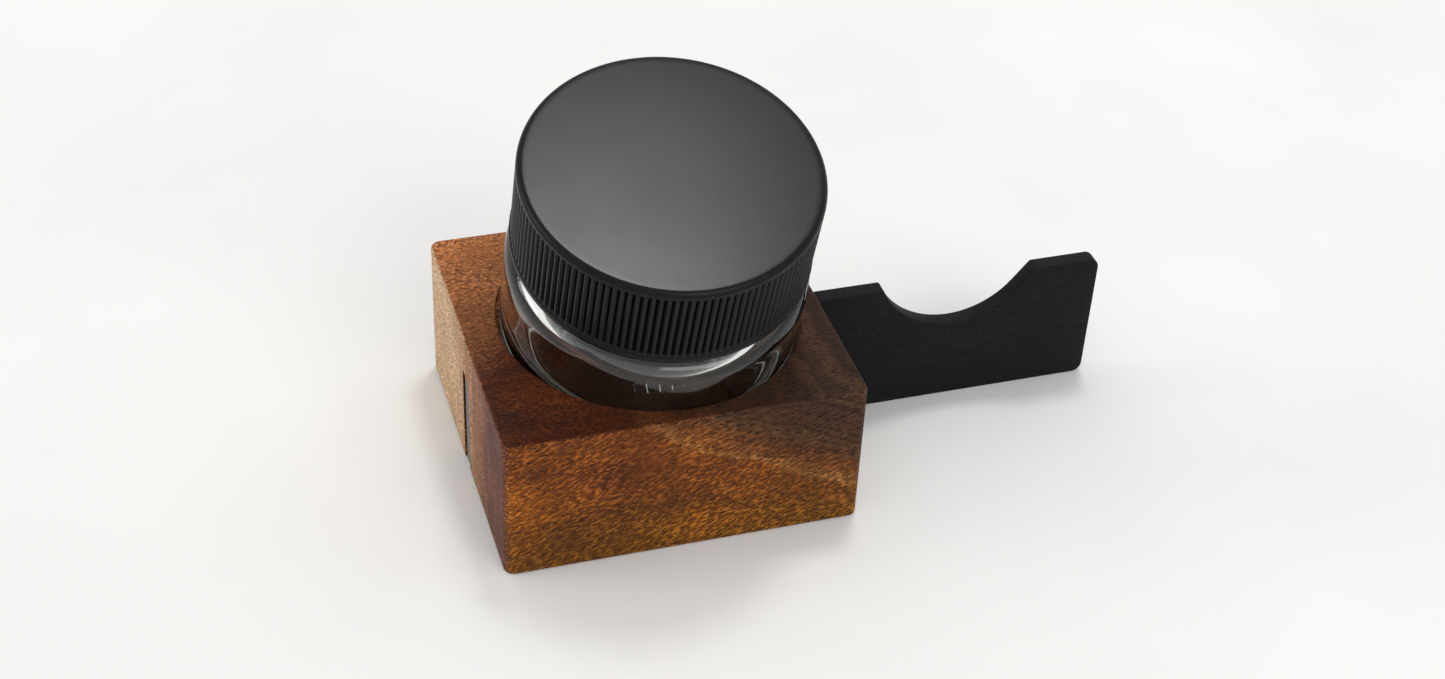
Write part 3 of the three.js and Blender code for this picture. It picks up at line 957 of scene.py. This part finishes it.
@dataclass
class GlassJar:
    """Pressed glass jar: a bead under the finish, a screw thread and a pushed-up base."""

    line: LeaningLine = field(default_factory=LeaningLine)
    base: float = -3.25
    radius: float = 21.1
    heel: float = 2.2
    wall: float = 1.7
    base_thickness: float = 4.2
    inner_heel: float = 2.3
    push_up: float = 0.7
    push_up_radius: float = 17.0
    stand_radius: float = 18.0
    shoulder_start: float = 12.2
    shoulder_top: float = 14.8
    shoulder_radius: float = 19.0
    bead_radius: float = 19.3
    bead_round: float = 0.5
    bead_rise: float = 0.85
    neck_radius: float = 17.45
    neck_rise: float = 1.5
    mouth_radius: float = 15.3
    mouth_rise: float = 0.6
    inner_shoulder: float = 3.4
    lip: float = 28.3
    lip_round: float = 0.7
    thread: ScrewRidge = field(default_factory=lambda: ScrewRidge(1.15, 1.9, 0.9, 21.7, 0.0))
    tick_count: int = 6
    tick_start: float = -4.2
    tick_spacing: float = 1.7
    tick_back: float = -10.8
    tick_depth: float = 0.22
    columns: int = 384

    def build(self) -> bpy.types.Object:
        """Build and dress the jar.

        Returns:
            The jar.
        """
        outside = self._outside()
        inside = self._inside()
        profile = np.concatenate([outside, inside])
        angle = np.linspace(0, 2 * math.pi, self.columns, endpoint=False)[None, :]
        radius = np.repeat(profile[:, :1], self.columns, axis=1)
        level = np.repeat(profile[:, 1:], self.columns, axis=1)
        outer = (np.arange(len(profile)) < len(outside))[:, None]
        finish = outer & (level > self.shoulder_top + self.neck_rise)
        radius = radius + np.where(finish, self.thread.height(angle, level), 0.0)
        radius = radius + np.where(outer, 0.0, self._ripple(angle, level, radius))
        level = level + np.where(outer, self._marks(angle, radius, level), 0.0)
        jar = closed_surface("glass_jar", self.line.place(radius, angle, level), 60.0)
        return dress(jar, FlintGlass().material(), Body.JAR, "jar")

    def _outside(self) -> np.ndarray:
        """Profile from the middle of the base, round the heel and up the outside to the top of the lip."""
        base = self.base
        heel = (self.radius - self.heel, base + self.heel)
        rise = self.shoulder_top - self.shoulder_start
        bead = (self.bead_radius - self.bead_round, self.shoulder_top + self.bead_rise)
        neck = self.shoulder_top + self.neck_rise
        lip = (self.neck_radius - self.lip_round, self.lip - self.lip_round)
        push = base + self.push_up
        return np.concatenate([
            run((0.0, push), (self.push_up_radius, push), 56),
            run((self.push_up_radius, push), (self.stand_radius, base), 6)[1:],
            arc(heel, (self.heel, self.heel), -90, 0, 12)[1:],
            run((self.radius, base + self.heel), (self.radius, self.shoulder_start), 10)[1:-1],
            arc((self.shoulder_radius, self.shoulder_start), (self.radius - self.shoulder_radius, rise),
                0, 90, 14),
            arc(bead, (self.bead_round, self.bead_round), -60, 90, 10),
            run((self.neck_radius + 0.25, neck - 0.1), (self.neck_radius, neck + 0.2), 3),
            run((self.neck_radius, neck + 0.4), (self.neck_radius, self.lip - self.lip_round), 48)[:-1],
            arc(lip, (self.lip_round, self.lip_round), 0, 90, 8),
        ])

    def _inside(self) -> np.ndarray:
        """Profile over the lip, down the mouth, out under the shoulder and down to the inner base."""
        mouth = (self.mouth_radius + self.lip_round, self.lip - self.lip_round)
        inner = self.radius - self.wall
        floor = self.base + self.base_thickness
        start = self.shoulder_top + self.mouth_rise - self.inner_shoulder
        heel = (inner - self.inner_heel, floor + self.inner_heel)
        return np.concatenate([
            arc(mouth, (self.lip_round, self.lip_round), 90, 180, 8),
            run((self.mouth_radius, self.lip - self.lip_round), (self.mouth_radius, start + 4.0), 8)[1:-1],
            arc((self.mouth_radius, start), (inner - self.mouth_radius, self.inner_shoulder), 90, 0, 14),
            run((inner, start), (inner, floor + self.inner_heel), 8)[1:-1],
            arc(heel, (self.inner_heel, self.inner_heel), 0, -90, 16),
            run((inner - self.inner_heel, floor), (0.0, floor), 10)[1:],
        ])

    def _ripple(self, angle: np.ndarray, level: np.ndarray, radius: np.ndarray) -> np.ndarray:
        """Uneven inner wall: a sine of three waves round plus one of five, fading out towards the middle."""
        wave = 0.05 * np.sin(3 * angle + 0.25 * level) + 0.03 * np.sin(5 * angle - 0.3 * level + 1.0)
        return wave * smooth_step(radius, 9.0, 14.0)

    def _marks(self, angle: np.ndarray, radius: np.ndarray, level: np.ndarray) -> np.ndarray:
        """Moulded relief under the base: a row of plain upright ticks, each a smooth-edged rectangle."""
        under = smooth_step(-level, -(self.base + self.push_up + 0.3), -(self.base + self.push_up + 0.2))
        x = radius * np.cos(angle)
        y = radius * np.sin(angle)
        ticks = np.zeros(np.broadcast(x, y).shape)
        for place in range(self.tick_count):
            across = np.abs(x - (self.tick_start + self.tick_spacing * place))
            ticks = np.maximum(ticks, smooth_step(-across, -0.5, -0.2))
        ticks = ticks * smooth_step(-np.abs(y - self.tick_back), -1.4, -1.1)
        return -self.tick_depth * ticks * under


@dataclass
class CapLiner:
    """Foam disc that seals the cap on the jar's lip, with the lip's ring pressed into it."""

    line: LeaningLine = field(default_factory=LeaningLine)
    radius: float = 18.6
    bottom: float = 28.6
    thickness: float = 1.0
    edge_round: float = 0.3
    lip_radius: float = 16.4
    print_depth: float = 0.12
    print_width: float = 0.8
    columns: int = 128

    def build(self) -> bpy.types.Object:
        """Build and dress the liner.

        Returns:
            The liner.
        """
        edge = self.radius - self.edge_round
        top = self.bottom + self.thickness
        profile = np.concatenate([
            run((0.0, self.bottom), (edge, self.bottom), 30),
            arc((edge, self.bottom + self.edge_round), (self.edge_round, self.edge_round), -90, 0, 4)[1:],
            arc((edge, top - self.edge_round), (self.edge_round, self.edge_round), 0, 90, 4),
            run((edge, top), (0.0, top), 6)[1:],
        ])
        radius, level = profile[:, :1], profile[:, 1:]
        print_of_lip = self.print_depth * np.exp(-((radius - self.lip_radius) / self.print_width) ** 2)
        level = level + np.where(level < self.bottom + 0.01, print_of_lip, 0.0)
        angle = np.linspace(0, 2 * math.pi, self.columns, endpoint=False)[None, :]
        liner = closed_surface("cap_liner_disc", self.line.place(radius, angle, level), 50.0)
        return dress(liner, LinerFoam().material(), Body.LINER, "cap_liner")


@dataclass
class ScrewCap:
    """Moulded screw cap: a flat face, a collar, fine grip ribs, a smooth band and an inner thread."""

    line: LeaningLine = field(default_factory=LeaningLine)
    top: float = 31.2
    rim: float = 16.5
    band_radius: float = 20.75
    band_height: float = 1.15
    rim_round: float = 0.45
    face_radius: float = 19.7
    edge_radius: float = 0.9
    collar_height: float = 1.2
    top_wall: float = 1.3
    bore: float = 19.0
    chamfer: float = 0.4
    rib_count: int = 126
    valley: float = 20.05
    crest: float = 20.6
    rib_columns: int = 8
    rib_roundness: float = 0.75
    face_layer: float = 0.07
    thread: ScrewRidge = field(
        default_factory=lambda: ScrewRidge(1.15, 1.6, 0.7, 21.7 - 25.4 / 12, -90.0))

    def build(self) -> bpy.types.Object:
        """Build and dress the cap.

        Returns:
            The cap.
        """
        outside = self._outside()
        inside = self._inside()
        profile = np.concatenate([inside, outside])
        columns = self.rib_count * self.rib_columns
        angle = np.linspace(0, 2 * math.pi, columns, endpoint=False)[None, :]
        radius = np.repeat(profile[:, :1], columns, axis=1)
        level = np.repeat(profile[:, 1:], columns, axis=1)
        inner = (np.arange(len(profile)) < len(inside))[:, None]
        radius = radius - np.where(inner & (radius > self.bore - 0.01), self.thread.height(angle, level), 0)
        skirt = (~inner) & (radius > self.face_radius + 0.5)
        radius = np.where(skirt, radius + self._ribs(angle, level), radius)
        cap = closed_surface("screw_cap", self.line.place(radius, angle, level), 60.0)
        dress(cap, MouldedPhenolic().material(), Body.CAP, "cap")
        grip = MouldedPhenolic(name="black_phenolic_grip", roughness=0.36, shine=0.13)
        cap.data.materials.append(grip.material())
        centres = np.empty(3 * len(cap.data.polygons))
        cap.data.polygons.foreach_get("center", centres)
        offset = centres.reshape(-1, 3) / MM - np.array([self.line.x, self.line.y, self.line.top])
        below = offset @ self.line.upward < self.top - self.face_layer
        cap.data.polygons.foreach_set("material_index", below.astype(np.int32))
        return cap

    def _ribs(self, angle: np.ndarray, level: np.ndarray) -> np.ndarray:
        """Grooves between the ribs: the depth times one less a rounded ridge, the cosine's size to a power.

        They fade in over 0.5 mm just above the band and fade out over 0.4 mm round the collar's foot.
        """
        ridge = np.abs(np.cos(self.rib_count * angle / 2)) ** self.rib_roundness
        low = self.rim + self.band_height + 0.1
        high = self.top - self.collar_height
        window = smooth_step(level, low, low + 0.5) * smooth_step(-level, -high - 0.1, -high + 0.3)
        return -(self.crest - self.valley) * (1 - ridge) * window

    def _outside(self) -> np.ndarray:
        """Profile from the rim, up the band and the ribs, round the edge and over the face."""
        band_top = self.rim + self.band_height
        rim = (self.band_radius - self.rim_round, self.rim + self.rim_round)
        ease = (self.band_radius - 0.15, band_top - 0.15)
        high = self.top - self.collar_height
        face = (self.face_radius, self.top - self.edge_radius)
        return np.concatenate([
            arc(rim, (self.rim_round, self.rim_round), -90, 0, 6),
            arc(ease, (0.15, 0.15), 0, 90, 3),
            run((self.crest, band_top + 0.15), (self.crest, band_top + 0.9), 7),
            run((self.crest, band_top + 2.0), (self.crest, high - 0.6), 4),
            run((self.crest, high - 0.4), (self.crest, high + 0.2), 6),
            arc(face, (self.crest - self.face_radius, self.edge_radius), 0, 90, 12),
            run((self.face_radius - 0.6, self.top), (0.0, self.top - 0.06), 5),
        ])

    def _inside(self) -> np.ndarray:
        """Profile from the middle of the ceiling, down the bore to the rim."""
        ceiling = self.top - self.top_wall
        chamfer = self.chamfer
        return np.concatenate([
            run((0.0, ceiling), (self.bore - chamfer, ceiling), 4),
            [(self.bore, ceiling - chamfer)],
            run((self.bore, ceiling - chamfer - 0.4), (self.bore, self.rim + chamfer), 36),
            [(self.bore + chamfer, self.rim)],
        ])


# ---------------------------------------------------------------------------------------------------
# Studio


@dataclass(frozen=True)
class Softbox:
    """Rectangular softbox, in millimetres and watts, that faces the object."""

    name: str
    place: tuple[float, float, float]
    size: tuple[float, float]
    watts: float


@dataclass
class Studio:
    """Pale floor, soft light and the camera."""

    aim: tuple[float, float, float] = (10.0, -6.64, 21.05)
    distance: float = 319.44
    turn_deg: float = 19.094
    down_deg: float = 37.167
    roll_deg: float = 3.162
    lens: float = 56.417
    sensor: float = 36.0
    near_clip: float = 0.01
    floor_radius: float = 3000.0
    floor_sides: int = 96
    sky_colour: str = "f8f9fb"
    sky_strength: float = 0.8
    softboxes: tuple[Softbox, ...] = (
        Softbox("front_softbox", (350.0, -1250.0, 900.0), (900.0, 700.0), 6.0),
        Softbox("left_window", (-2200.0, 500.0, 1100.0), (1000.0, 1000.0), 14.0),
        Softbox("cap_softbox", (160.0, 225.0, 901.0), (150.0, 150.0), 1.9),
    )

    def build(self) -> None:
        """Make the camera, the floor, the sky and the lights."""
        self._camera()
        self._floor()
        self._sky()
        for softbox in self.softboxes:
            self._hang(softbox)
        settings = bpy.context.scene.view_settings
        settings.view_transform = "Standard"
        settings.look = "None"

    def _camera(self) -> None:
        """Stand the camera off the aim point along its view line, turned, tipped down and rolled."""
        turn, down, roll = (math.radians(value) for value in (self.turn_deg, self.down_deg, self.roll_deg))
        ahead = np.array([math.sin(turn) * math.cos(down), math.cos(turn) * math.cos(down),
                          -math.sin(down)])
        level = np.array([math.cos(turn), -math.sin(turn), 0.0])
        up = np.cross(level, ahead)
        right = level * math.cos(roll) + up * math.sin(roll)
        over = up * math.cos(roll) - level * math.sin(roll)
        spot = (np.array(self.aim) - self.distance * ahead) * MM
        data = bpy.data.cameras.new("camera")
        data.lens = self.lens
        data.sensor_width = self.sensor
        data.clip_start = self.near_clip
        camera = bpy.data.objects.new("camera", data)
        bpy.context.scene.collection.objects.link(camera)
        pose = np.eye(4)
        pose[:3, :3] = np.column_stack([right, over, -ahead])
        pose[:3, 3] = spot
        camera.matrix_world = Matrix(pose.tolist())
        bpy.context.scene.camera = camera

    def _floor(self) -> None:
        """Round floor: one flat ring of points about the origin."""
        angle = np.linspace(0, 2 * math.pi, self.floor_sides, endpoint=False)
        circle = np.column_stack([np.cos(angle), np.sin(angle), np.zeros(self.floor_sides)])
        floor = mesh_object("floor", circle * self.floor_radius * MM, [list(range(self.floor_sides))], 30.0)
        floor.data.materials.append(PaintedBoard().material())

    def _sky(self) -> None:
        """Even near-white surroundings."""
        world = bpy.data.worlds.new("surroundings")
        world.use_nodes = True
        background = world.node_tree.nodes["Background"]
        background.inputs["Color"].default_value = colour(self.sky_colour)
        background.inputs["Strength"].default_value = self.sky_strength
        bpy.context.scene.world = world

    def _hang(self, softbox: Softbox) -> None:
        """Hang one softbox so that it faces the object.

        Args:
            softbox: The light to make.
        """
        data = bpy.data.lights.new(softbox.name, "AREA")
        data.shape = "RECTANGLE"
        data.size = softbox.size[0] * MM
        data.size_y = softbox.size[1] * MM
        data.energy = softbox.watts
        light = bpy.data.objects.new(softbox.name, data)
        bpy.context.scene.collection.objects.link(light)
        back = np.array(softbox.place) - np.array(self.aim)
        back = back / np.linalg.norm(back)
        side = np.cross([0.0, 1.0, 0.0], back)
        side = side / np.linalg.norm(side)
        pose = np.eye(4)
        pose[:3, :3] = np.column_stack([side, np.cross(back, side), back])
        pose[:3, 3] = np.array(softbox.place) * MM
        light.matrix_world = Matrix(pose.tolist())


def main() -> None:
    """Build the studio and every piece in order."""
    logging.basicConfig(level=logging.INFO, format="%(name)s: %(message)s")
    Studio().build()
    makers: list[Callable[[], bpy.types.Object]] = [
        HolderBlock().build, PenRest().build, GlassJar().build, CapLiner().build, ScrewCap().build]
    for make in makers:
        piece = make()
        LOG.info("%s: %d faces", piece.name, len(piece.data.polygons))


if __name__ == "__main__":
    main()
